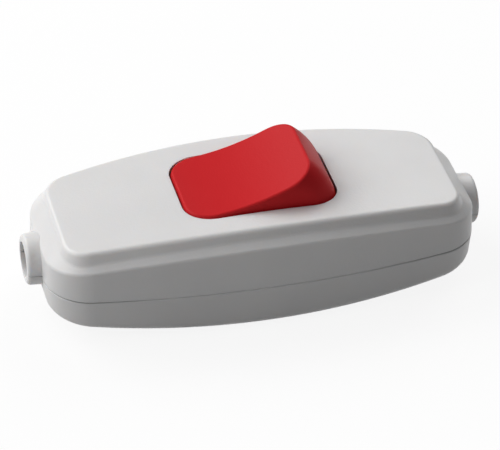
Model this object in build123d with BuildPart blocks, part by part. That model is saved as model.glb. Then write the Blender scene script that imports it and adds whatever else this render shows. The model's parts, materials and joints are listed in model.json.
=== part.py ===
from build123d import *
import math
import os

# In-line rocker switch for a flexible cord, sizes in millimetres.
# X runs along the cord, Y across, Z up. z = 0 is the lowest point of the belly.
# The rocker stands in its rest position with its -X end pressed.

# Shell, outside
parting_z = 8.6
end_x = 38.7
side_y = 16.9
corner_y = 12.9
plan_corner = 8.5
upper_draft = 2.0
lower_draft = 4.5
crown_z = 19.7
crown_radius = 235.0
ledge_width = 3.0
ledge_drop = 2.4
shoulder_round = 0.6
belly_radius = 240.0
belly_round = 2.4
blank_extra = 1.0
pick = 0.01

# Raised plate on top of the shell
plate_rise = 0.55
plate_end_inset = 4.5
plate_side_inset = 2.6
plate_corner = 3.6
plate_draft = 24.0
plate_depth = 2.8
plate_round = 1.0
cove_round = 1.0

# Shell, inside
wall = 2.0
roof = 2.2
floor = 2.0
inner_bevel = 1.5
tongue_thick = 0.95
tongue_height = 1.2
tongue_clear = 0.12
tongue_end_clear = 0.2
seam_chamfer = 0.2
collar_gap = 0.12

# Cord collars
collar_tip_x = 41.1
collar_root_x = 37.4
collar_z = 9.3
collar_root_radius = 4.75
collar_tip_radius = 4.5
collar_bore_radius = 3.2
collar_tip_round = 0.8
collar_seat_half = 5.4

# Rocker, measured from its pivot
tilt = 16.4
pivot_z = 14.75
rocker_end_radius = 14.2
rocker_end_x = 11.45
rocker_dish_z = 6.83
rocker_skirt = 2.4
rocker_half = 9.25
rocker_corner = 4.6
rocker_edge = 0.5
rocker_wall = 1.8
rocker_gap = 0.4
boss_room = 0.4
trunnion_radius = 1.5
trunnion_length = 2.4
pivot_clear = 0.05
rib_thick = 1.6
rocker_rib_drop = 1.5
rocker_cavity_end_x = 10.6

# Lugs that carry the rocker
lug_half = 3.6
lug_thick = 2.4
lug_drop = 3.0
lug_clear = 0.4
lug_slot = 2.6

# Plungers and springs in the rocker
barrel_radius = 2.4
barrel_drop = 5.0
plunger_radius = 1.65
plunger_clear = 0.1
plunger_top = 0.6
plunger_shoulder = 5.7
plunger_nose_radius = 1.2
plunger_reach = 7.9
spring_seat = 4.4
spring_wire = 0.4
spring_radius = 1.25
spring_turns = 6
spring_end_gap = 0.08

# See-saw contacts
blade_room = 0.35
blade_width = 2.8
blade_thick = 0.8
blade_half = 8.6
blade_rise = 18.0
blade_bend = 5.0
blade_tilt = 10.0
fulcrum_z = 5.45
fulcrum_radius = 0.5
fulcrum_clear = 0.05
fulcrum_seat = 0.3
tip_radius = 1.2
tip_inset = 0.2
moving_tip_height = 0.7
tip_edge = 0.25
tip_slip = 0.3
fixed_tip_height = 0.55

# Terminals
strip_z = 3.9
strip_thick = 0.9
strip_width = 2.8
common_strip_end = 1.4
contact_strip_lead = 0.9
strip_lap = 0.3
block_room = 0.6
block_length = 5.4
block_width = 5.6
block_shift = 0.5
block_bottom_z = 4.3
block_height = 6.4
block_chamfer = 0.4
block_pad_root_z = 2.4
block_pad_inset = 0.8
wire_z = 7.6
wire_radius = 1.4
terminal_screw_radius = 1.5
terminal_screw_reach = 3.0
terminal_head_radius = 2.3
terminal_head_height = 1.7
terminal_head_lift = 0.8
screw_clear = 0.05
slot_width = 0.8
slot_depth = 0.8

# Ribs that hold the terminals
strip_side_clear = 0.25
guide_rib = 1.0
guide_rib_half_x = 13.4
guide_rib_top = 5.5
rib_root_z = 1.2
stop_x = 7.4
stop_length = 1.6
stop_bottom_z = 5.1
stop_top_z = 6.1
barrier_thick = 1.2
barrier_top = 7.4

# Screws that close the shell
housing_screw_radius = 1.5
housing_head_radius = 2.7
housing_head_height = 1.8
housing_head_clear = 0.25
housing_seat_z = 3.8
housing_screw_top = 14.6
pillar_root_z = 1.6
pillar_base_radius = 4.0
pillar_base_top = 5.2
pillar_radius = 3.0
pillar_top = 9.2
pillar_gap = 0.2
passage_clear = 0.2
boss_tip_room = 0.6
cross_width = 0.7
cross_length = 3.0
cross_depth = 1.0

# Cord clamps
clamp_room = 1.0
clamp_length = 5.0
clamp_half = 10.3
clamp_root_z = 3.0
clamp_thick = 2.2
clamp_arch_radius = 3.0
clamp_arch_thick = 1.6
clamp_edge = 0.3
clamp_boss_radius = 2.7
clamp_boss_top = 9.2
clamp_screw_radius = 1.45
clamp_screw_bottom = 5.8
clamp_head_radius = 2.5
clamp_head_height = 1.7
cradle_half = 4.4
cradle_radius = 3.4
cradle_top = 6.8

os.makedirs("parts", exist_ok=True)

# Places along X, from the rocker outwards
housing_screw_x = rocker_end_radius + rocker_gap + boss_room + pillar_radius
block_inner_x = housing_screw_x + pillar_base_radius + block_room
block_mid_x = block_inner_x + block_length / 2
clamp_x = block_inner_x + block_length + clamp_room + clamp_length / 2
through_length = 2 * (collar_tip_x + blank_extra)
tip_x = blade_half - tip_radius - tip_inset
fixed_tip_x = tip_x + tip_slip
contact_strip_end = fixed_tip_x - tip_radius - contact_strip_lead

# Places along Y, from the rocker's side walls and the ends of the clamps
pole_y = rocker_half - rocker_wall - blade_room - blade_width / 2
block_y = pole_y + block_shift
clamp_screw_y = clamp_half - clamp_head_radius - clamp_edge

# Working planes
turn = math.radians(tilt)
along = (math.cos(turn), 0, math.sin(turn))
upward = (-math.sin(turn), 0, math.cos(turn))
rocker_side = Plane(origin=(0, 0, pivot_z), x_dir=along, z_dir=(0, -1, 0))
rocker_deck = Plane(origin=(0, 0, pivot_z), x_dir=along, z_dir=upward)
seam = Plane.XY.offset(parting_z)
seam_down = Plane(origin=(0, 0, parting_z), x_dir=(1, 0, 0), z_dir=(0, 0, -1))
crown_down = Plane(origin=(0, 0, crown_z), x_dir=(1, 0, 0), z_dir=(0, 0, -1))

# Plan outline of the shell where its two halves meet, and of its hollow
with BuildSketch() as plan:
    with BuildLine():
        ThreePointArc((-end_x, -corner_y), (0, -side_y), (end_x, -corner_y))
        Line((end_x, -corner_y), (end_x, corner_y))
        ThreePointArc((end_x, corner_y), (0, side_y), (-end_x, corner_y))
        Line((-end_x, corner_y), (-end_x, -corner_y))
    make_face()
    fillet(plan.vertices(), plan_corner)

with BuildSketch() as hollow_plan:
    add(plan.sketch)
    offset(amount=-wall)

# Raised plate that covers the top, with sloping flanks and its own tighter corners
plate_x = end_x - plate_end_inset
plate_y = side_y - plate_side_inset
plate_corner_y = corner_y - plate_side_inset
with BuildPart() as top_plate:
    with BuildSketch(crown_down) as plate_plan:
        with BuildLine():
            ThreePointArc((-plate_x, -plate_corner_y), (0, -plate_y), (plate_x, -plate_corner_y))
            Line((plate_x, -plate_corner_y), (plate_x, plate_corner_y))
            ThreePointArc((plate_x, plate_corner_y), (0, plate_y), (-plate_x, plate_corner_y))
            Line((-plate_x, plate_corner_y), (-plate_x, -plate_corner_y))
        make_face()
        fillet(plate_plan.vertices(), plate_corner)
    extrude(amount=crown_z - parting_z, taper=-plate_draft)
    with BuildSketch(Plane.XZ):
        with Locations((0, crown_z - crown_radius)):
            Circle(crown_radius)
        with Locations((0, crown_z - plate_depth - crown_radius)):
            Circle(crown_radius, mode=Mode.SUBTRACT)
    extrude(amount=side_y + blank_extra, both=True, mode=Mode.INTERSECT)

# Cord collars, whole, before the seam divides them
with BuildPart() as collars:
    with BuildSketch(Plane.XZ) as collar_profile:
        with BuildLine():
            Polyline(
                (collar_root_x, collar_z),
                (collar_root_x, collar_z + collar_root_radius),
                (collar_tip_x, collar_z + collar_tip_radius),
                (collar_tip_x, collar_z),
                close=True,
            )
        make_face()
        fillet(collar_profile.vertices().group_by(Axis.X)[-1].sort_by(Axis.Y)[-1], collar_tip_round)
    revolve(axis=Axis((0, 0, collar_z), (1, 0, 0)))
    mirror(about=Plane.YZ)

with BuildPart() as collar_tops:
    add(collars.part)
    split(bisect_by=seam.offset(collar_gap), keep=Keep.TOP)

with BuildPart() as collar_bottoms:
    add(collars.part)
    split(bisect_by=seam, keep=Keep.BOTTOM)

# Lugs under the roof that carry the rocker, open below so that the trunnions snap in
lug_height = crown_z - roof / 2 - pivot_z + lug_drop
with BuildPart() as lugs:
    with BuildSketch(Plane.XZ.offset(rocker_half + lug_clear)):
        with Locations((0, pivot_z - lug_drop)):
            Rectangle(2 * lug_half, lug_height, align=(Align.CENTER, Align.MIN))
            Rectangle(lug_slot, lug_drop, align=(Align.CENTER, Align.MIN), mode=Mode.SUBTRACT)
        with Locations((0, pivot_z)):
            Circle(trunnion_radius + pivot_clear, mode=Mode.SUBTRACT)
    extrude(amount=lug_thick)
    mirror(about=Plane.XZ)

# Hollow of the upper shell
with BuildPart() as upper_cavity:
    with BuildSketch(seam):
        add(hollow_plan.sketch)
    extrude(amount=crown_z - parting_z + blank_extra, taper=upper_draft)
    with BuildSketch(Plane.XZ):
        with Locations((0, crown_z - crown_radius)):
            Circle(crown_radius - roof)
    extrude(amount=side_y + blank_extra, both=True, mode=Mode.INTERSECT)
    chamfer(upper_cavity.faces().sort_by(Axis.Z)[-1].edges(), inner_bevel)

# Opening that the rocker sweeps through, turned about the pivot
with BuildPart() as rocker_opening:
    with Locations((0, 0, pivot_z)):
        Cylinder(rocker_end_radius + rocker_gap, 2 * (rocker_half + rocker_gap), rotation=(90, 0, 0))
    fillet(rocker_opening.edges().filter_by(GeomType.CIRCLE), rocker_corner + rocker_gap)

# Upper half of the shell: sloping ledge round the raised plate, rocker opening, lugs and screw bosses
with BuildPart() as upper_housing:
    with BuildSketch(seam):
        add(plan.sketch)
    extrude(amount=crown_z - parting_z + blank_extra, taper=upper_draft)
    with BuildSketch(Plane.XZ):
        with Locations((0, crown_z - plate_rise - crown_radius)):
            Circle(crown_radius)
    extrude(amount=side_y + blank_extra, both=True, mode=Mode.INTERSECT)
    blank_top = upper_housing.faces().sort_by(Axis.Z)[-1]
    chamfer(blank_top.edges(), ledge_width, ledge_drop, reference=blank_top)
    add(top_plate.part)
    fillet(upper_housing.edges(Select.NEW), cove_round)
    fillet(upper_housing.faces().sort_by(Axis.Z)[-1].edges(), plate_round)
    standing = upper_housing.faces().filter_by(lambda f: f.bounding_box().min.Z < parting_z + pick)
    side_walls = standing.sort_by(Axis.Z)[1:]
    fillet([w.edges().sort_by(Axis.Z)[-1] for w in side_walls], shoulder_round)
    chamfer(upper_housing.faces().sort_by(Axis.Z)[0].edges(), seam_chamfer)
    add(upper_cavity.part, mode=Mode.SUBTRACT)
    with BuildSketch(seam):
        add(plan.sketch)
        offset(amount=tongue_thick + tongue_clear - wall)
    extrude(amount=tongue_height + tongue_end_clear, mode=Mode.SUBTRACT)
    add(collar_tops.part)
    with Locations((0, 0, collar_z)):
        Cylinder(collar_bore_radius, through_length, rotation=(0, 90, 0), mode=Mode.SUBTRACT)
    add(rocker_opening.part, mode=Mode.SUBTRACT)
    add(lugs.part)
    boss_bottom = pillar_top + pillar_gap
    with BuildSketch(Plane.XY.offset(boss_bottom)):
        with Locations((-housing_screw_x, 0), (housing_screw_x, 0)):
            Circle(pillar_radius)
    extrude(amount=crown_z - roof - boss_bottom)
    with BuildSketch(Plane.XY.offset(boss_bottom)):
        with Locations((-housing_screw_x, 0), (housing_screw_x, 0)):
            Circle(housing_screw_radius + screw_clear)
    extrude(amount=housing_screw_top + boss_tip_room - boss_bottom, mode=Mode.SUBTRACT)
upper_housing.part.label = "upper_housing"
export_step(upper_housing.part, "parts/upper_housing.step")

# Hollow of the lower shell
with BuildPart() as lower_cavity:
    with BuildSketch(seam_down):
        add(hollow_plan.sketch)
    extrude(amount=parting_z + blank_extra, taper=lower_draft)
    with BuildSketch(Plane.XZ):
        with Locations((0, belly_radius)):
            Circle(belly_radius - floor)
    extrude(amount=side_y + blank_extra, both=True, mode=Mode.INTERSECT)

# Lower half of the shell: arched belly, tongue, screw pillars, clamp bosses and terminal ribs
rib_reach = strip_width / 2 + strip_side_clear + guide_rib / 2
rib_lines = [(0, side * pole_y + reach) for side in (-1, 1) for reach in (-rib_reach, rib_reach)]
rib_span = 2 * rib_reach + guide_rib
with BuildPart() as lower_housing:
    with BuildSketch(seam_down):
        add(plan.sketch)
    extrude(amount=parting_z + blank_extra, taper=lower_draft)
    with BuildSketch(Plane.XZ):
        with Locations((0, belly_radius)):
            Circle(belly_radius)
    extrude(amount=side_y + blank_extra, both=True, mode=Mode.INTERSECT)
    fillet(lower_housing.faces().sort_by(Axis.Z)[0].edges(), belly_round)
    chamfer(lower_housing.faces().sort_by(Axis.Z)[-1].edges(), seam_chamfer)
    add(lower_cavity.part, mode=Mode.SUBTRACT)
    with BuildSketch(seam):
        add(plan.sketch)
        offset(amount=tongue_thick - wall)
        add(hollow_plan.sketch, mode=Mode.SUBTRACT)
    extrude(amount=tongue_height)
    with BuildSketch(seam):
        Rectangle(through_length, 2 * collar_seat_half)
    extrude(amount=tongue_height, mode=Mode.SUBTRACT)
    add(collar_bottoms.part)
    with Locations((0, 0, collar_z)):
        Cylinder(collar_bore_radius, through_length, rotation=(0, 90, 0), mode=Mode.SUBTRACT)
    with BuildSketch(Plane.XY.offset(rib_root_z)):
        with Locations((0, -pole_y), (0, pole_y)):
            Rectangle(2 * guide_rib_half_x, rib_span)
    extrude(amount=strip_z - rib_root_z)
    with BuildSketch(Plane.XY.offset(rib_root_z)):
        with Locations(rib_lines):
            Rectangle(2 * guide_rib_half_x, guide_rib)
    extrude(amount=guide_rib_top - rib_root_z)
    with BuildSketch(Plane.XY.offset(stop_bottom_z)):
        with Locations((stop_x, -pole_y), (stop_x, pole_y)):
            Rectangle(stop_length, rib_span)
    extrude(amount=stop_top_z - stop_bottom_z)
    with BuildSketch(Plane.XY.offset(rib_root_z)):
        Rectangle(2 * guide_rib_half_x, barrier_thick)
    extrude(amount=barrier_top - rib_root_z)
    with BuildSketch(Plane.XY.offset(block_pad_root_z)):
        with GridLocations(2 * block_mid_x, 2 * block_y, 2, 2):
            Rectangle(block_length - block_pad_inset, block_width - block_pad_inset)
    extrude(amount=block_bottom_z - block_pad_root_z)
    with BuildSketch(Plane.XY.offset(pillar_root_z)):
        with Locations((-housing_screw_x, 0), (housing_screw_x, 0)):
            Circle(pillar_base_radius)
    extrude(amount=pillar_base_top - pillar_root_z)
    with BuildSketch(Plane.XY.offset(pillar_root_z)):
        with Locations((-housing_screw_x, 0), (housing_screw_x, 0)):
            Circle(pillar_radius)
    extrude(amount=pillar_top - pillar_root_z)
    with BuildSketch(Plane.XY):
        with Locations((-housing_screw_x, 0), (housing_screw_x, 0)):
            Circle(housing_head_radius + housing_head_clear)
    extrude(amount=housing_seat_z, mode=Mode.SUBTRACT)
    with BuildSketch(Plane.XY):
        with Locations((-housing_screw_x, 0), (housing_screw_x, 0)):
            Circle(housing_screw_radius + passage_clear)
    extrude(amount=pillar_top, mode=Mode.SUBTRACT)
    with BuildSketch(Plane.XY.offset(clamp_root_z)):
        with GridLocations(2 * clamp_x, 2 * clamp_screw_y, 2, 2):
            Circle(clamp_boss_radius)
    extrude(amount=clamp_boss_top - clamp_root_z)
    with BuildSketch(Plane.XY.offset(clamp_screw_bottom)):
        with GridLocations(2 * clamp_x, 2 * clamp_screw_y, 2, 2):
            Circle(clamp_screw_radius + screw_clear)
    extrude(amount=clamp_boss_top - clamp_screw_bottom, mode=Mode.SUBTRACT)
    with BuildSketch(Plane.XY.offset(clamp_root_z)):
        with Locations((-clamp_x, 0), (clamp_x, 0)):
            Rectangle(clamp_length, 2 * cradle_half)
    extrude(amount=cradle_top - clamp_root_z)
    with Locations((-clamp_x, 0, collar_z), (clamp_x, 0, collar_z)):
        Cylinder(cradle_radius, clamp_length, rotation=(0, 90, 0), mode=Mode.SUBTRACT)
lower_housing.part.label = "lower_housing"
export_step(lower_housing.part, "parts/lower_housing.step")

# Rocker: dished face, end walls turned about the pivot, hollow below, two barrels for the plungers
rocker_end_z = math.sqrt(rocker_end_radius**2 - rocker_end_x**2)
skirt_x = math.sqrt(rocker_end_radius**2 - rocker_skirt**2)
cavity_radius = rocker_end_radius - rocker_wall
cavity_end_z = math.sqrt(cavity_radius**2 - rocker_cavity_end_x**2)
cavity_low_x = math.sqrt(cavity_radius**2 - rocker_skirt**2)
with BuildPart() as rocker_cavity:
    with BuildSketch(rocker_side):
        with BuildLine():
            ThreePointArc((-rocker_cavity_end_x, cavity_end_z), (0, rocker_dish_z - rocker_wall),
                          (rocker_cavity_end_x, cavity_end_z))
            ThreePointArc((rocker_cavity_end_x, cavity_end_z), (cavity_radius, 0),
                          (cavity_low_x, -rocker_skirt))
            Line((cavity_low_x, -rocker_skirt), (-cavity_low_x, -rocker_skirt))
            ThreePointArc((-cavity_low_x, -rocker_skirt), (-cavity_radius, 0),
                          (-rocker_cavity_end_x, cavity_end_z))
        make_face()
    extrude(amount=rocker_half - rocker_wall, both=True)
    hollow_ends = rocker_cavity.edges().filter_by(GeomType.CIRCLE)
    hollow_corner = rocker_corner - rocker_wall
    fillet(hollow_ends.filter_by(lambda e: abs(e.radius - cavity_radius) < pick), hollow_corner)

with BuildPart() as rocker:
    with BuildSketch(rocker_side):
        with BuildLine():
            ThreePointArc((-rocker_end_x, rocker_end_z), (0, rocker_dish_z), (rocker_end_x, rocker_end_z))
            ThreePointArc((rocker_end_x, rocker_end_z), (rocker_end_radius, 0), (skirt_x, -rocker_skirt))
            Line((skirt_x, -rocker_skirt), (-skirt_x, -rocker_skirt))
            ThreePointArc((-skirt_x, -rocker_skirt), (-rocker_end_radius, 0), (-rocker_end_x, rocker_end_z))
        make_face()
    extrude(amount=rocker_half, both=True)
    round_ends = rocker.edges().filter_by(GeomType.CIRCLE)
    fillet(round_ends.filter_by(lambda e: abs(e.radius - rocker_end_radius) < pick), rocker_corner)
    deck = rocker.faces().filter_by(GeomType.CYLINDER).sort_by(lambda f: f.area)[-1]
    fillet(deck.edges(), rocker_edge)
    add(rocker_cavity.part, mode=Mode.SUBTRACT)
    with BuildSketch(rocker_deck.offset(-barrel_drop)):
        with Locations((0, -pole_y), (0, pole_y)):
            Circle(barrel_radius)
    extrude(amount=barrel_drop + rocker_dish_z - rocker_wall / 2)
    with BuildSketch(rocker_deck.offset(-rocker_rib_drop)):
        Rectangle(rib_thick, 2 * (rocker_half - rocker_wall / 2))
    extrude(amount=rocker_rib_drop + rocker_dish_z - rocker_wall / 2)
    with BuildSketch(rocker_deck.offset(-barrel_drop)):
        with Locations((0, -pole_y), (0, pole_y)):
            Circle(plunger_radius + plunger_clear)
    extrude(amount=barrel_drop + spring_seat, mode=Mode.SUBTRACT)
    with BuildSketch(rocker_side.offset(rocker_half - rocker_wall / 2)):
        Circle(trunnion_radius)
    extrude(amount=trunnion_length + rocker_wall / 2)
    with BuildSketch(rocker_side.offset(-rocker_half - trunnion_length)):
        Circle(trunnion_radius)
    extrude(amount=trunnion_length + rocker_wall / 2)
rocker.part.label = "rocker"
export_step(rocker.part, "parts/rocker.step")

# Plungers that slide in the rocker's barrels and push on the see-saw contacts
nose_center = plunger_reach - plunger_nose_radius
plunger_side = Plane(origin=rocker_side.from_local_coords((0, 0, pole_y)), x_dir=along, z_dir=(0, -1, 0))
with BuildPart() as plunger_front:
    with BuildSketch(plunger_side):
        with BuildLine():
            Polyline((0, -plunger_top), (plunger_radius, -plunger_top), (plunger_radius, -plunger_shoulder),
                     (plunger_nose_radius, -nose_center))
            RadiusArc((plunger_nose_radius, -nose_center), (0, -plunger_reach), plunger_nose_radius)
            Line((0, -plunger_reach), (0, -plunger_top))
        make_face()
    revolve(axis=Axis(plunger_side.origin, upward))
plunger_front.part.label = "plunger_front"
export_step(plunger_front.part, "parts/plunger_front.step")

with BuildPart() as plunger_back:
    mirror(plunger_front.part, about=Plane.XZ)
plunger_back.part.label = "plunger_back"
export_step(plunger_back.part, "parts/plunger_back.step")

# Springs between the plungers and the roof of the barrels
spring_bottom = spring_wire / 2 + spring_end_gap - plunger_top
spring_length = spring_seat - spring_wire / 2 - spring_end_gap - spring_bottom
spring_foot = rocker_deck.from_local_coords((0, -pole_y, spring_bottom))
with BuildPart() as spring_front:
    with BuildLine() as coil:
        Helix(spring_length / spring_turns, spring_length, spring_radius,
              center=spring_foot, direction=upward)
    with BuildSketch(coil.line ^ 0):
        Circle(spring_wire / 2)
    sweep(path=coil.line, is_frenet=True)
spring_front.part.label = "spring_front"
export_step(spring_front.part, "parts/spring_front.step")

with BuildPart() as spring_back:
    mirror(spring_front.part, about=Plane.XZ)
spring_back.part.label = "spring_back"
export_step(spring_back.part, "parts/spring_back.step")

# See-saw contacts, grooved to sit on the fulcrum and bent up on both sides, the +X arm down at rest
lean = math.radians(blade_tilt)
rise = math.radians(blade_rise)
blade_along = (math.cos(lean), 0, -math.sin(lean))
blade_x = fulcrum_seat * math.sin(lean)
blade_z = fulcrum_z + fulcrum_seat * math.cos(lean)
blade_side = Plane(origin=(blade_x, blade_width / 2 - pole_y, blade_z), x_dir=blade_along, z_dir=(0, -1, 0))
bend_low = blade_bend + blade_thick
bend_top_x = blade_bend * math.sin(rise)
bend_top_z = bend_low - blade_bend * math.cos(rise)
bend_low_x = bend_low * math.sin(rise)
bend_low_z = bend_low - bend_low * math.cos(rise)
arm = (blade_half - bend_low_x) / math.cos(rise)
arm_low = (bend_low_x + arm * math.cos(rise), bend_low_z + arm * math.sin(rise))
arm_top = (bend_top_x + arm * math.cos(rise), bend_top_z + arm * math.sin(rise))
with BuildPart() as seesaw_front:
    with BuildSketch(blade_side):
        with BuildLine():
            ThreePointArc((-bend_low_x, bend_low_z), (0, 0), (bend_low_x, bend_low_z))
            Polyline((bend_low_x, bend_low_z), arm_low, arm_top, (bend_top_x, bend_top_z))
            ThreePointArc((bend_top_x, bend_top_z), (0, blade_thick), (-bend_top_x, bend_top_z))
            Polyline((-bend_top_x, bend_top_z), (-arm_top[0], arm_top[1]), (-arm_low[0], arm_low[1]),
                     (-bend_low_x, bend_low_z))
        make_face()
        with Locations((0, -fulcrum_seat)):
            Circle(fulcrum_radius + fulcrum_clear, mode=Mode.SUBTRACT)
    extrude(amount=blade_width)
seesaw_front.part.label = "seesaw_front"
export_step(seesaw_front.part, "parts/seesaw_front.step")

with BuildPart() as seesaw_back:
    mirror(seesaw_front.part, about=Plane.XZ)
seesaw_back.part.label = "seesaw_back"
export_step(seesaw_back.part, "parts/seesaw_back.step")

# Contact buttons under the -X arms
tip_arm = (tip_x - bend_low_x) / math.cos(rise)
tip_seat = blade_side.from_local_coords((-tip_x, bend_low_z + tip_arm * math.sin(rise), blade_width / 2))
arm_angle = rise + lean
tip_down = (-math.sin(arm_angle), 0, -math.cos(arm_angle))
tip_plane = Plane(origin=tip_seat, x_dir=(0, 1, 0), z_dir=tip_down)
with BuildPart() as seesaw_tip_front:
    with BuildSketch(tip_plane):
        Circle(tip_radius)
    extrude(amount=moving_tip_height)
    fillet(seesaw_tip_front.faces().sort_by(Axis(tip_seat, tip_down))[-1].edges(), tip_edge)
seesaw_tip_front.part.label = "seesaw_tip_front"
export_step(seesaw_tip_front.part, "parts/seesaw_tip_front.step")

with BuildPart() as seesaw_tip_back:
    mirror(seesaw_tip_front.part, about=Plane.XZ)
seesaw_tip_back.part.label = "seesaw_tip_back"
export_step(seesaw_tip_back.part, "parts/seesaw_tip_back.step")

# Terminals of the +X cord, each with the round ridge that its see-saw contact turns on
block_top_z = block_bottom_z + block_height
with BuildPart() as common_terminal_front:
    with BuildSketch(Plane.XZ.offset(pole_y - strip_width / 2)):
        with Locations((-common_strip_end, strip_z)):
            Rectangle(common_strip_end + block_inner_x + strip_lap, strip_thick,
                      align=(Align.MIN, Align.MIN))
        with Locations((0, strip_z)):
            Rectangle(2 * fulcrum_radius, fulcrum_z - strip_z, align=(Align.CENTER, Align.MIN))
        with Locations((0, fulcrum_z)):
            Circle(fulcrum_radius)
    extrude(amount=strip_width)
    with Locations((block_mid_x, -block_y, block_bottom_z)):
        Box(block_length, block_width, block_height, align=(Align.CENTER, Align.CENTER, Align.MIN))
    chamfer(common_terminal_front.edges().filter_by(Axis.Z).group_by(Axis.X)[-1], block_chamfer)
    with Locations((block_mid_x, -block_y, wire_z)):
        Cylinder(wire_radius, 2 * block_length, rotation=(0, 90, 0), mode=Mode.SUBTRACT)
    with Locations((block_mid_x, -block_y, wire_z)):
        Cylinder(terminal_screw_radius + screw_clear, block_height,
                 align=(Align.CENTER, Align.CENTER, Align.MIN), mode=Mode.SUBTRACT)
common_terminal_front.part.label = "common_terminal_front"
export_step(common_terminal_front.part, "parts/common_terminal_front.step")

with BuildPart() as common_terminal_back:
    mirror(common_terminal_front.part, about=Plane.XZ)
common_terminal_back.part.label = "common_terminal_back"
export_step(common_terminal_back.part, "parts/common_terminal_back.step")

# Terminals of the -X cord, each with a fixed contact
with BuildPart() as contact_terminal_front:
    with Locations((-contact_strip_end, -pole_y, strip_z)):
        Box(block_inner_x + strip_lap - contact_strip_end, strip_width, strip_thick,
            align=(Align.MAX, Align.CENTER, Align.MIN))
    with Locations((-block_mid_x, -block_y, block_bottom_z)):
        Box(block_length, block_width, block_height, align=(Align.CENTER, Align.CENTER, Align.MIN))
    chamfer(contact_terminal_front.edges().filter_by(Axis.Z).group_by(Axis.X)[0], block_chamfer)
    with Locations((-block_mid_x, -block_y, wire_z)):
        Cylinder(wire_radius, 2 * block_length, rotation=(0, 90, 0), mode=Mode.SUBTRACT)
    with Locations((-block_mid_x, -block_y, wire_z)):
        Cylinder(terminal_screw_radius + screw_clear, block_height,
                 align=(Align.CENTER, Align.CENTER, Align.MIN), mode=Mode.SUBTRACT)
contact_terminal_front.part.label = "contact_terminal_front"
export_step(contact_terminal_front.part, "parts/contact_terminal_front.step")

with BuildPart() as contact_terminal_back:
    mirror(contact_terminal_front.part, about=Plane.XZ)
contact_terminal_back.part.label = "contact_terminal_back"
export_step(contact_terminal_back.part, "parts/contact_terminal_back.step")

# Fixed contact buttons
with BuildPart() as fixed_tips:
    with BuildSketch(Plane.XY.offset(strip_z + strip_thick)):
        with Locations((-fixed_tip_x, -pole_y), (-fixed_tip_x, pole_y)):
            Circle(tip_radius)
    extrude(amount=fixed_tip_height)
    fillet(fixed_tips.faces().group_by(Axis.Z)[-1].edges(), tip_edge)
fixed_tips.part.label = "fixed_tips"
export_step(fixed_tips.part, "parts/fixed_tips.step")

# Slotted screws in the terminal blocks
terminal_head_z = block_top_z + terminal_head_lift
with BuildPart() as terminal_screws:
    with BuildSketch(Plane.XY.offset(block_top_z - terminal_screw_reach)):
        with GridLocations(2 * block_mid_x, 2 * block_y, 2, 2):
            Circle(terminal_screw_radius)
    extrude(amount=terminal_screw_reach + terminal_head_lift)
    with BuildSketch(Plane.XY.offset(terminal_head_z)):
        with GridLocations(2 * block_mid_x, 2 * block_y, 2, 2):
            Circle(terminal_head_radius)
    extrude(amount=terminal_head_height)
    with BuildSketch(Plane.XY.offset(terminal_head_z + terminal_head_height)):
        with GridLocations(2 * block_mid_x, 2 * block_y, 2, 2):
            Rectangle(slot_width, 2 * terminal_head_radius)
    extrude(amount=-slot_depth, mode=Mode.SUBTRACT)
terminal_screws.part.label = "terminal_screws"
export_step(terminal_screws.part, "parts/terminal_screws.step")

# Screws that close the shell from below
with BuildPart() as housing_screws:
    with BuildSketch(Plane.XY.offset(housing_seat_z)):
        with Locations((-housing_screw_x, 0), (housing_screw_x, 0)):
            Circle(housing_screw_radius)
    extrude(amount=housing_screw_top - housing_seat_z)
    chamfer(housing_screws.faces().group_by(Axis.Z)[-1].edges(), housing_screw_radius / 2)
    with BuildSketch(Plane.XY.offset(housing_seat_z - housing_head_height)):
        with Locations((-housing_screw_x, 0), (housing_screw_x, 0)):
            Circle(housing_head_radius)
    extrude(amount=housing_head_height)
    with BuildSketch(Plane.XY.offset(housing_seat_z - housing_head_height)):
        with Locations((-housing_screw_x, 0), (housing_screw_x, 0)):
            Rectangle(cross_length, cross_width)
            Rectangle(cross_width, cross_length)
    extrude(amount=cross_depth, mode=Mode.SUBTRACT)
housing_screws.part.label = "housing_screws"
export_step(housing_screws.part, "parts/housing_screws.step")

# Bridges that grip the cord behind each collar
with BuildPart() as cord_clamp_right:
    with BuildSketch(Plane.YZ.offset(clamp_x - clamp_length / 2)):
        with Locations((0, clamp_boss_top)):
            Circle(clamp_arch_radius + clamp_arch_thick)
            Rectangle(2 * clamp_half, clamp_thick, align=(Align.CENTER, Align.MIN))
            Rectangle(2 * clamp_half, 2 * clamp_half, align=(Align.CENTER, Align.MAX), mode=Mode.SUBTRACT)
            Circle(clamp_arch_radius, mode=Mode.SUBTRACT)
    extrude(amount=clamp_length)
    with BuildSketch(Plane.XY.offset(clamp_boss_top)):
        with Locations((clamp_x, -clamp_screw_y), (clamp_x, clamp_screw_y)):
            Circle(clamp_screw_radius + passage_clear)
    extrude(amount=clamp_thick, mode=Mode.SUBTRACT)
cord_clamp_right.part.label = "cord_clamp_right"
export_step(cord_clamp_right.part, "parts/cord_clamp_right.step")

with BuildPart() as cord_clamp_left:
    mirror(cord_clamp_right.part, about=Plane.YZ)
cord_clamp_left.part.label = "cord_clamp_left"
export_step(cord_clamp_left.part, "parts/cord_clamp_left.step")

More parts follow.
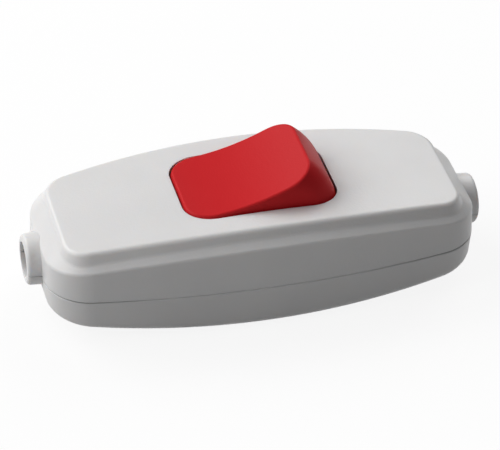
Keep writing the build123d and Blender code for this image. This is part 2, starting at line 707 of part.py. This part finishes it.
# Screws of the cord clamps
clamp_head_z = clamp_boss_top + clamp_thick
with BuildPart() as clamp_screws:
    with BuildSketch(Plane.XY.offset(clamp_screw_bottom)):
        with GridLocations(2 * clamp_x, 2 * clamp_screw_y, 2, 2):
            Circle(clamp_screw_radius)
    extrude(amount=clamp_head_z - clamp_screw_bottom)
    with BuildSketch(Plane.XY.offset(clamp_head_z)):
        with GridLocations(2 * clamp_x, 2 * clamp_screw_y, 2, 2):
            Circle(clamp_head_radius)
    extrude(amount=clamp_head_height)
    with BuildSketch(Plane.XY.offset(clamp_head_z + clamp_head_height)):
        with GridLocations(2 * clamp_x, 2 * clamp_screw_y, 2, 2):
            Rectangle(cross_length, cross_width)
            Rectangle(cross_width, cross_length)
    extrude(amount=-cross_depth, mode=Mode.SUBTRACT)
clamp_screws.part.label = "clamp_screws"
export_step(clamp_screws.part, "parts/clamp_screws.step")
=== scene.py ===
import json
import math

import bmesh
import bpy
from mathutils import Matrix, Vector


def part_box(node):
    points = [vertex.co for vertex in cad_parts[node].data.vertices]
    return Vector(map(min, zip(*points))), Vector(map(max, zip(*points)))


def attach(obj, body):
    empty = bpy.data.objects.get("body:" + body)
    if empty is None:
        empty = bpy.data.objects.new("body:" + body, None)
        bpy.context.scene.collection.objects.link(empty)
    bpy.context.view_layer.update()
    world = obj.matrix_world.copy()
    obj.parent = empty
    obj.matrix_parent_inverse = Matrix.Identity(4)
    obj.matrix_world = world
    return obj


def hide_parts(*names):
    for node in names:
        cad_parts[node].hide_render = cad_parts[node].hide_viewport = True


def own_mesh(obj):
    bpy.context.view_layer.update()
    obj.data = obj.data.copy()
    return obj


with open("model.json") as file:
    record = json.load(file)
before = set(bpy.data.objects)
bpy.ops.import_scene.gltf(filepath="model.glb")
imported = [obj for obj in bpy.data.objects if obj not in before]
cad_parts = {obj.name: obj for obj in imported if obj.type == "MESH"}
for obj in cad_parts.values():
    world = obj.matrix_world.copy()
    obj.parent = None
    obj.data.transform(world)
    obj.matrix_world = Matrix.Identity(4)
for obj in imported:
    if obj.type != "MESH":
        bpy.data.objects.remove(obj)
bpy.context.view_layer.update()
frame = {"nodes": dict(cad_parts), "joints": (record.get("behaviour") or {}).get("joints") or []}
nodes = frame["nodes"]


# Lower half of the shell: the tray that everything is screwed into.
# White thermoplastic, injection moulded and a little translucent, with a satin skin that carries
# a fine spark-eroded grain and the faint cloudiness of pigment that flowed from the gate.

def group_sockets(group, inputs, outputs):
    """Gives a group its sockets: an input is a name, a kind and a default, an output a name and a kind."""
    for name, kind, default in inputs:
        group.interface.new_socket(name, in_out="INPUT", socket_type=kind).default_value = default
    for name, kind in outputs:
        group.interface.new_socket(name, in_out="OUTPUT", socket_type=kind)


def moulded_skin_group():
    """Skin of a moulding: pigment clouds, patches that are a little more or less glossy, and fine grain."""
    group = bpy.data.node_groups.new("moulded_skin", "ShaderNodeTree")
    group_sockets(
        group,
        (
            ("Colour", "NodeSocketColor", (0.8, 0.8, 0.8, 1.0)),
            ("Cloud Colour", "NodeSocketColor", (0.7, 0.7, 0.7, 1.0)),
            ("Roughness Low", "NodeSocketFloat", 0.3),
            ("Roughness High", "NodeSocketFloat", 0.4),
            ("Grain Scale", "NodeSocketFloat", 4000.0),
            ("Grain Depth", "NodeSocketFloat", 0.000004),
        ),
        (
            ("Colour", "NodeSocketColor"),
            ("Roughness", "NodeSocketFloat"),
            ("Normal", "NodeSocketVector"),
        ),
    )
    add, link = group.nodes.new, group.links.new
    entry = add("NodeGroupInput")
    leave = add("NodeGroupOutput")
    place = add("ShaderNodeTexCoord")

    cloud = add("ShaderNodeTexNoise")
    cloud.inputs["Scale"].default_value = 55.0
    cloud.inputs["Detail"].default_value = 3.0
    link(place.outputs["Object"], cloud.inputs["Vector"])
    tint = add("ShaderNodeMix")
    tint.data_type = "RGBA"
    link(cloud.outputs["Fac"], tint.inputs["Factor"])
    link(entry.outputs["Colour"], tint.inputs["A"])
    link(entry.outputs["Cloud Colour"], tint.inputs["B"])
    link(tint.outputs["Result"], leave.inputs["Colour"])

    patch = add("ShaderNodeTexNoise")
    patch.inputs["Scale"].default_value = 320.0
    patch.inputs["Detail"].default_value = 4.0
    link(place.outputs["Object"], patch.inputs["Vector"])
    gloss = add("ShaderNodeMapRange")
    link(patch.outputs["Fac"], gloss.inputs["Value"])
    link(entry.outputs["Roughness Low"], gloss.inputs["To Min"])
    link(entry.outputs["Roughness High"], gloss.inputs["To Max"])
    link(gloss.outputs["Result"], leave.inputs["Roughness"])

    grain = add("ShaderNodeTexNoise")
    grain.inputs["Detail"].default_value = 2.0
    link(place.outputs["Object"], grain.inputs["Vector"])
    link(entry.outputs["Grain Scale"], grain.inputs["Scale"])
    bump = add("ShaderNodeBump")
    link(entry.outputs["Grain Depth"], bump.inputs["Distance"])
    link(grain.outputs["Fac"], bump.inputs["Height"])
    link(bump.outputs["Normal"], leave.inputs["Normal"])
    return group


def finish_from(group, name, values, constants):
    """A material whose colour, roughness and normal come from a group with its own values."""
    material = bpy.data.materials.new(name)
    material.use_nodes = True
    tree = material.node_tree
    shader = tree.nodes["Principled BSDF"]
    skin = tree.nodes.new("ShaderNodeGroup")
    skin.node_tree = group
    for socket, value in values.items():
        skin.inputs[socket].default_value = value
    tree.links.new(skin.outputs["Colour"], shader.inputs["Base Color"])
    tree.links.new(skin.outputs["Roughness"], shader.inputs["Roughness"])
    tree.links.new(skin.outputs["Normal"], shader.inputs["Normal"])
    for socket, value in constants.items():
        shader.inputs[socket].default_value = value
    return material


def dress(material, *names):
    """Puts a material on CAD nodes."""
    for name in names:
        nodes[name].material_slots[0].material = material


moulded_skin = moulded_skin_group()
shell_white = finish_from(
    moulded_skin,
    "shell_white",
    {
        "Colour": (0.850, 0.842, 0.838, 1.0),
        "Cloud Colour": (0.765, 0.758, 0.758, 1.0),
        "Roughness Low": 0.28,
        "Roughness High": 0.44,
        "Grain Scale": 2400.0,
        "Grain Depth": 0.000030,
    },
    {
        "IOR": 1.49,
        "Subsurface Weight": 0.4,
        "Subsurface Radius": (1.0, 0.85, 0.72),
        "Subsurface Scale": 0.0012,
    },
)

# Painted shade along the seam between the halves: a dark band in the shell's colour, none near the middle
# and strongest towards the ends.
seam_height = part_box("upper_housing")[0][2]
seam_reach = 0.00017
seam_unpainted_to = 0.018
seam_fully_painted_from = 0.036
collar_from = 0.0386
collar_clear_from = 0.0390
collar_painted_shade_share = 0.15
painted_seam_shade_colour = (0.20, 0.195, 0.19, 1.0)


def paint_seam_shade(material):
    """Paints shade into the shell's colour along the seam between the halves, darkest at the ends of the
    shell and faint on the collars.
    """
    tree = material.node_tree
    add, link = tree.nodes.new, tree.links.new
    shader = tree.nodes["Principled BSDF"]
    plain = shader.inputs["Base Color"].links[0].from_socket
    place = add("ShaderNodeTexCoord")
    offset = add("ShaderNodeVectorMath")
    offset.operation = "SUBTRACT"
    offset.inputs[1].default_value = (0.0, 0.0, seam_height)
    link(place.outputs["Object"], offset.inputs[0])
    away = add("ShaderNodeVectorMath")
    away.operation = "ABSOLUTE"
    link(offset.outputs["Vector"], away.inputs[0])
    axes = add("ShaderNodeSeparateXYZ")
    link(away.outputs["Vector"], axes.inputs["Vector"])

    shade_along_seam = add("ShaderNodeMath")
    shade_along_seam.operation = "MULTIPLY"
    painted_shade = add("ShaderNodeMath")
    painted_shade.operation = "MULTIPLY"
    link(shade_along_seam.outputs["Value"], painted_shade.inputs[1])
    ramps = (
        ("Z", 0.0, seam_reach, 1.0, 0.0, painted_shade.inputs[0]),
        ("X", seam_unpainted_to, seam_fully_painted_from, 0.0, 1.0, shade_along_seam.inputs[0]),
        ("X", collar_from, collar_clear_from, 1.0, collar_painted_shade_share, shade_along_seam.inputs[1]),
    )
    for axis, begin, end, first, last, target in ramps:
        ramp = add("ShaderNodeMapRange")
        ramp.inputs["From Min"].default_value = begin
        ramp.inputs["From Max"].default_value = end
        ramp.inputs["To Min"].default_value = first
        ramp.inputs["To Max"].default_value = last
        link(axes.outputs[axis], ramp.inputs["Value"])
        link(ramp.outputs["Result"], target)

    # The painted shade mixes the shell's own colour towards the shade colour.
    tint = add("ShaderNodeMix")
    tint.data_type = "RGBA"
    tint.inputs["B"].default_value = painted_seam_shade_colour
    link(painted_shade.outputs["Value"], tint.inputs["Factor"])
    link(plain, tint.inputs["A"])
    link(tint.outputs["Result"], shader.inputs["Base Color"])


# The shell carries painted shade along its seam.
paint_seam_shade(shell_white)
dress(shell_white, "lower_housing")


# Terminals: brass strips stamped and joined to drilled blocks, two for each cord.
# They drop between the ribs of the tray and are held down by the shell.

def rolled_metal_group():
    """Skin of rolled or drawn metal: drawing lines along X, and tarnish in clouds."""
    group = bpy.data.node_groups.new("rolled_metal", "ShaderNodeTree")
    group_sockets(
        group,
        (
            ("Colour", "NodeSocketColor", (0.8, 0.6, 0.3, 1.0)),
            ("Tarnish", "NodeSocketColor", (0.5, 0.35, 0.2, 1.0)),
            ("Roughness Low", "NodeSocketFloat", 0.2),
            ("Roughness High", "NodeSocketFloat", 0.4),
            ("Line Depth", "NodeSocketFloat", 0.000003),
        ),
        (
            ("Colour", "NodeSocketColor"),
            ("Roughness", "NodeSocketFloat"),
            ("Normal", "NodeSocketVector"),
        ),
    )
    add, link = group.nodes.new, group.links.new
    entry = add("NodeGroupInput")
    leave = add("NodeGroupOutput")
    place = add("ShaderNodeTexCoord")

    cloud = add("ShaderNodeTexNoise")
    cloud.inputs["Scale"].default_value = 260.0
    cloud.inputs["Detail"].default_value = 5.0
    link(place.outputs["Object"], cloud.inputs["Vector"])
    dull = add("ShaderNodeMapRange")
    dull.inputs["From Min"].default_value = 0.45
    dull.inputs["From Max"].default_value = 0.75
    link(cloud.outputs["Fac"], dull.inputs["Value"])
    tint = add("ShaderNodeMix")
    tint.data_type = "RGBA"
    link(dull.outputs["Result"], tint.inputs["Factor"])
    link(entry.outputs["Colour"], tint.inputs["A"])
    link(entry.outputs["Tarnish"], tint.inputs["B"])
    link(tint.outputs["Result"], leave.inputs["Colour"])
    gloss = add("ShaderNodeMapRange")
    link(cloud.outputs["Fac"], gloss.inputs["Value"])
    link(entry.outputs["Roughness Low"], gloss.inputs["To Min"])
    link(entry.outputs["Roughness High"], gloss.inputs["To Max"])
    link(gloss.outputs["Result"], leave.inputs["Roughness"])

    stretch = add("ShaderNodeMapping")
    stretch.inputs["Scale"].default_value = (0.04, 1.0, 1.0)
    link(place.outputs["Object"], stretch.inputs["Vector"])
    lines = add("ShaderNodeTexNoise")
    lines.inputs["Scale"].default_value = 7000.0
    lines.inputs["Detail"].default_value = 2.0
    link(stretch.outputs["Vector"], lines.inputs["Vector"])
    bump = add("ShaderNodeBump")
    link(entry.outputs["Line Depth"], bump.inputs["Distance"])
    link(lines.outputs["Fac"], bump.inputs["Height"])
    link(bump.outputs["Normal"], leave.inputs["Normal"])
    return group


rolled_metal = rolled_metal_group()
terminal_brass = finish_from(
    rolled_metal,
    "terminal_brass",
    {
        "Colour": (0.80, 0.59, 0.27, 1.0),
        "Tarnish": (0.62, 0.40, 0.17, 1.0),
        "Roughness Low": 0.22,
        "Roughness High": 0.40,
    },
    {"Metallic": 1.0},
)
dress(
    terminal_brass,
    "common_terminal_front", "common_terminal_back", "contact_terminal_front", "contact_terminal_back",
)


# Contact buttons: silver alloy, riveted to the fixed strips and to the see-saw arms.
# Silver darkens a little with handling, so it is greyer in patches.

contact_silver = finish_from(
    rolled_metal,
    "contact_silver",
    {
        "Colour": (0.86, 0.84, 0.80, 1.0),
        "Tarnish": (0.52, 0.49, 0.44, 1.0),
        "Roughness Low": 0.24,
        "Roughness High": 0.42,
    },
    {"Metallic": 1.0},
)
dress(contact_silver, "fixed_tips", "seesaw_tip_front", "seesaw_tip_back")


# See-saw contacts: hard bronze strip, stamped, bent up on both sides and grooved in the middle.
# Each one lies loose on the round ridge of its terminal and tips over it when the plunger crosses.

seesaw_bronze = finish_from(
    rolled_metal,
    "seesaw_bronze",
    {
        "Colour": (0.78, 0.48, 0.28, 1.0),
        "Tarnish": (0.52, 0.30, 0.17, 1.0),
        "Roughness Low": 0.20,
        "Roughness High": 0.36,
    },
    {"Metallic": 1.0},
)
dress(seesaw_bronze, "seesaw_front", "seesaw_back")


# Cord clamps: arched bridges behind each cord entry, screwed down over the cord's sheath.
# They are moulded in unpigmented nylon, which is waxy and a little yellow.

clamp_nylon = finish_from(
    moulded_skin,
    "clamp_nylon",
    {
        "Colour": (0.70, 0.58, 0.44, 1.0),
        "Cloud Colour": (0.62, 0.50, 0.37, 1.0),
        "Roughness Low": 0.38,
        "Roughness High": 0.52,
        "Grain Scale": 2600.0,
        "Grain Depth": 0.000005,
    },
    {"IOR": 1.53},
)
dress(clamp_nylon, "cord_clamp_left", "cord_clamp_right")


# Screws: zinc-plated steel for the terminals, the clamps and the shell.
# Plating gives them a bluish, slightly patchy shine.

screw_zinc = finish_from(
    rolled_metal,
    "screw_zinc",
    {
        "Colour": (0.66, 0.68, 0.71, 1.0),
        "Tarnish": (0.50, 0.50, 0.50, 1.0),
        "Roughness Low": 0.24,
        "Roughness High": 0.44,
    },
    {"Metallic": 1.0},
)
dress(screw_zinc, "terminal_screws", "clamp_screws", "housing_screws")


# Rocker: one hollow moulding in red thermoplastic, with a dished face for the fingertip.
# It snaps into the lugs under the roof by two trunnions, and its mould is finely eroded,
# so it hardly shines.

rocker_red = finish_from(
    moulded_skin,
    "rocker_red",
    {
        "Colour": (0.62, 0.021, 0.025, 1.0),
        "Cloud Colour": (0.58, 0.018, 0.022, 1.0),
        "Roughness Low": 0.34,
        "Roughness High": 0.44,
        "Grain Scale": 2800.0,
        "Grain Depth": 0.000032,
    },
    {"IOR": 1.49, "Specular IOR Level": 0.07},
)
dress(rocker_red, "rocker")


# Plungers: turned nylon pins with a rounded nose, one for each pole.
# They slide in the rocker's barrels and stroke the see-saw contacts from one side to the other.

plunger_nylon = finish_from(
    moulded_skin,
    "plunger_nylon",
    {
        "Colour": (0.78, 0.75, 0.68, 1.0),
        "Cloud Colour": (0.70, 0.67, 0.60, 1.0),
        "Roughness Low": 0.30,
        "Roughness High": 0.44,
        "Grain Scale": 4200.0,
        "Grain Depth": 0.000003,
    },
    {"IOR": 1.53},
)
dress(plunger_nylon, "plunger_front", "plunger_back")


# Springs: drawn steel wire, coiled with one closed turn at each end, one above each plunger.
# They stand in the blind ends of the rocker's barrels, above the see-saws, and shorten when the
# plungers are pushed in.

joints = {joint["name"]: joint for joint in frame["joints"]}
pivot = Vector(joints["rocker_turn"]["pos_m"])
barrel_from_middle = joints["back_seesaw_turn"]["pos_m"][1]
spring_wire_radius = 0.0002
spring_coil_radius = 0.00125
spring_foot = -0.00032
spring_head = 0.00412
closed_pitch = 0.00042
open_turns = 4
open_pitch = (spring_head - spring_foot - 2 * closed_pitch) / open_turns
steps_per_turn = 28
wire_sides = 10
spring_steel = finish_from(
    rolled_metal,
    "spring_steel",
    {
        "Colour": (0.58, 0.58, 0.60, 1.0),
        "Tarnish": (0.40, 0.39, 0.38, 1.0),
        "Roughness Low": 0.18,
        "Roughness High": 0.34,
    },
    {"Metallic": 1.0},
)


def coil_spring(name, node, slide, across):
    """A compression spring on the axis of a barrel, which stands across from the rocker's pivot."""
    coil = bmesh.new()
    section = Matrix.Translation((spring_coil_radius, 0.0, 0.0)) @ Matrix.Rotation(math.pi / 2, 4, "X")
    bmesh.ops.create_circle(coil, segments=wire_sides, radius=spring_wire_radius, matrix=section)
    tip = coil.verts[:] + coil.edges[:]
    for turns, pitch in ((1, closed_pitch), (open_turns, open_pitch), (1, closed_pitch)):
        rise = Vector((0.0, 0.0, pitch / steps_per_turn))
        wound = bmesh.ops.spin(
            coil, geom=tip, cent=(0.0, 0.0, 0.0), axis=(0.0, 0.0, 1.0), dvec=rise,
            angle=2 * math.pi * turns, steps=turns * steps_per_turn,
        )
        tip = wound["geom_last"]
    ends = [edge for edge in coil.edges if edge.is_boundary]
    bmesh.ops.holes_fill(coil, edges=ends, sides=wire_sides)
    bmesh.ops.recalc_face_normals(coil, faces=coil.faces[:])
    for face in coil.faces:
        face.smooth = len(face.verts) < wire_sides

    barrel = Vector(joints[slide]["axis"]).normalized()
    axis_start = pivot + Vector((0.0, across, 0.0))
    lean = Vector((0.0, 0.0, 1.0)).rotation_difference(barrel).to_matrix().to_4x4()
    stand = Matrix.Translation(axis_start + spring_foot * barrel) @ lean
    bmesh.ops.transform(coil, matrix=stand, verts=coil.verts[:])
    mesh = bpy.data.meshes.new(name)
    coil.to_mesh(mesh)
    coil.free()
    mesh.materials.append(spring_steel)
    spring = bpy.data.objects.new(name, mesh)
    bpy.context.scene.collection.objects.link(spring)

    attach(spring, "rocker")
    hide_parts(node)
    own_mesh(spring)


coil_spring("spring_coil_front", "spring_front", "front_plunger_slide", -barrel_from_middle)
coil_spring("spring_coil_back", "spring_back", "back_plunger_slide", barrel_from_middle)


# Upper half of the shell: the same white moulding as the tray, with a raised plate on top.
# It closes over a tongue on the tray, carries the rocker and is held by two screws from below.

dress(shell_white, "upper_housing")


# Floor: a wide white sheet that the switch lies on.
# It keeps the soft shadow, and looks white to the camera and in reflections.

floor_half = 4.0
bounce_grey = 0.31
white_level = 0.88
shadow_grey = 0.13
floor_mesh = bpy.data.meshes.new("floor")
sheet = bmesh.new()
bmesh.ops.create_grid(sheet, x_segments=1, y_segments=1, size=floor_half)
sheet.to_mesh(floor_mesh)
sheet.free()
floor = bpy.data.objects.new("floor", floor_mesh)
bpy.context.scene.collection.objects.link(floor)

floor_paper = bpy.data.materials.new("floor_paper")
floor_paper.use_nodes = True
paper = floor_paper.node_tree
paper.nodes.clear()
ray = paper.nodes.new("ShaderNodeLightPath")
seen = paper.nodes.new("ShaderNodeMath")
seen.operation = "MAXIMUM"
seen_or_clear = paper.nodes.new("ShaderNodeMath")
seen_or_clear.operation = "MAXIMUM"
paper_bounce = paper.nodes.new("ShaderNodeBsdfDiffuse")
paper_bounce.inputs["Color"].default_value = (bounce_grey, bounce_grey, bounce_grey, 1.0)
paper_white = paper.nodes.new("ShaderNodeEmission")
paper_white.inputs["Strength"].default_value = white_level
paper_shadow = paper.nodes.new("ShaderNodeBsdfDiffuse")
paper_shadow.inputs["Color"].default_value = (shadow_grey, shadow_grey, shadow_grey, 1.0)
paper_face = paper.nodes.new("ShaderNodeAddShader")
paper_mix = paper.nodes.new("ShaderNodeMixShader")
paper_out = paper.nodes.new("ShaderNodeOutputMaterial")
paper.links.new(ray.outputs["Is Camera Ray"], seen.inputs[0])
paper.links.new(ray.outputs["Is Glossy Ray"], seen.inputs[1])
paper.links.new(seen.outputs["Value"], seen_or_clear.inputs[0])
paper.links.new(ray.outputs["Is Transmission Ray"], seen_or_clear.inputs[1])
paper.links.new(paper_white.outputs["Emission"], paper_face.inputs[0])
paper.links.new(paper_shadow.outputs["BSDF"], paper_face.inputs[1])
paper.links.new(seen_or_clear.outputs["Value"], paper_mix.inputs["Fac"])
paper.links.new(paper_bounce.outputs["BSDF"], paper_mix.inputs[1])
paper.links.new(paper_face.outputs["Shader"], paper_mix.inputs[2])
paper.links.new(paper_mix.outputs["Shader"], paper_out.inputs["Surface"])
floor_mesh.materials.append(floor_paper)


# Light: two soft boxes high behind the switch, the left one stronger, and a third at the left end.
# A weak one in front, the dim room and what the floor throws back fill the front wall.

room_grey = 0.10
box_side = 0.9
middle = Vector((0.0, 0.0, seam_height))
studio = bpy.data.worlds.new("studio")
studio.use_nodes = True
room = studio.node_tree.nodes["Background"]
room.inputs["Color"].default_value = (room_grey, room_grey, room_grey, 1.0)
bpy.context.scene.world = studio


def soft_box(name, place, power):
    """A square lamp that faces the middle of the switch."""
    lamp = bpy.data.lights.new(name, "AREA")
    lamp.shape = "SQUARE"
    lamp.size = box_side
    lamp.energy = power
    box = bpy.data.objects.new(name, lamp)
    box.location = place
    box.rotation_euler = (middle - Vector(place)).to_track_quat("-Z", "Y").to_euler()
    bpy.context.scene.collection.objects.link(box)


soft_box("box_back_left", (-0.74, 0.8, 0.88), 11.2)
soft_box("box_back_right", (0.74, 0.8, 0.88), 6.4)
soft_box("box_left", (-1.2, 0.0, 0.75), 8.4)
soft_box("box_front", (0.0, -1.2, 0.75), 1.3)


# Camera: the photograph's view, from the front, a little to the left and well above.
# A long lens from half a metre away keeps the far end nearly as large as the near one.

azimuth = math.radians(-15.3)
elevation = math.radians(36.15)
roll = math.radians(1.22)
distance = 0.5
pixels_per_metre = 5634.0
image_width = 500.0
middle_right_of_centre = 1.57
middle_below_centre = 5.94

right = Vector((math.cos(azimuth), math.sin(azimuth), 0.0))
back = Vector((
    math.sin(azimuth) * math.cos(elevation), -math.cos(azimuth) * math.cos(elevation), math.sin(elevation)))
up = back.cross(right)
right_rolled = math.cos(roll) * right + math.sin(roll) * up
up_rolled = math.cos(roll) * up - math.sin(roll) * right
lens = bpy.data.cameras.new("camera")
lens.sensor_width = 36.0
lens.lens = lens.sensor_width * pixels_per_metre * distance / image_width
lens.shift_x = -middle_right_of_centre / image_width
lens.shift_y = middle_below_centre / image_width
camera = bpy.data.objects.new("camera", lens)
turned = Matrix((right_rolled, up_rolled, back)).transposed().to_4x4()
camera.matrix_world = Matrix.Translation(middle + distance * back) @ turned
bpy.context.scene.collection.objects.link(camera)
bpy.context.scene.camera = camera

bpy.context.scene.view_settings.view_transform = "Standard"
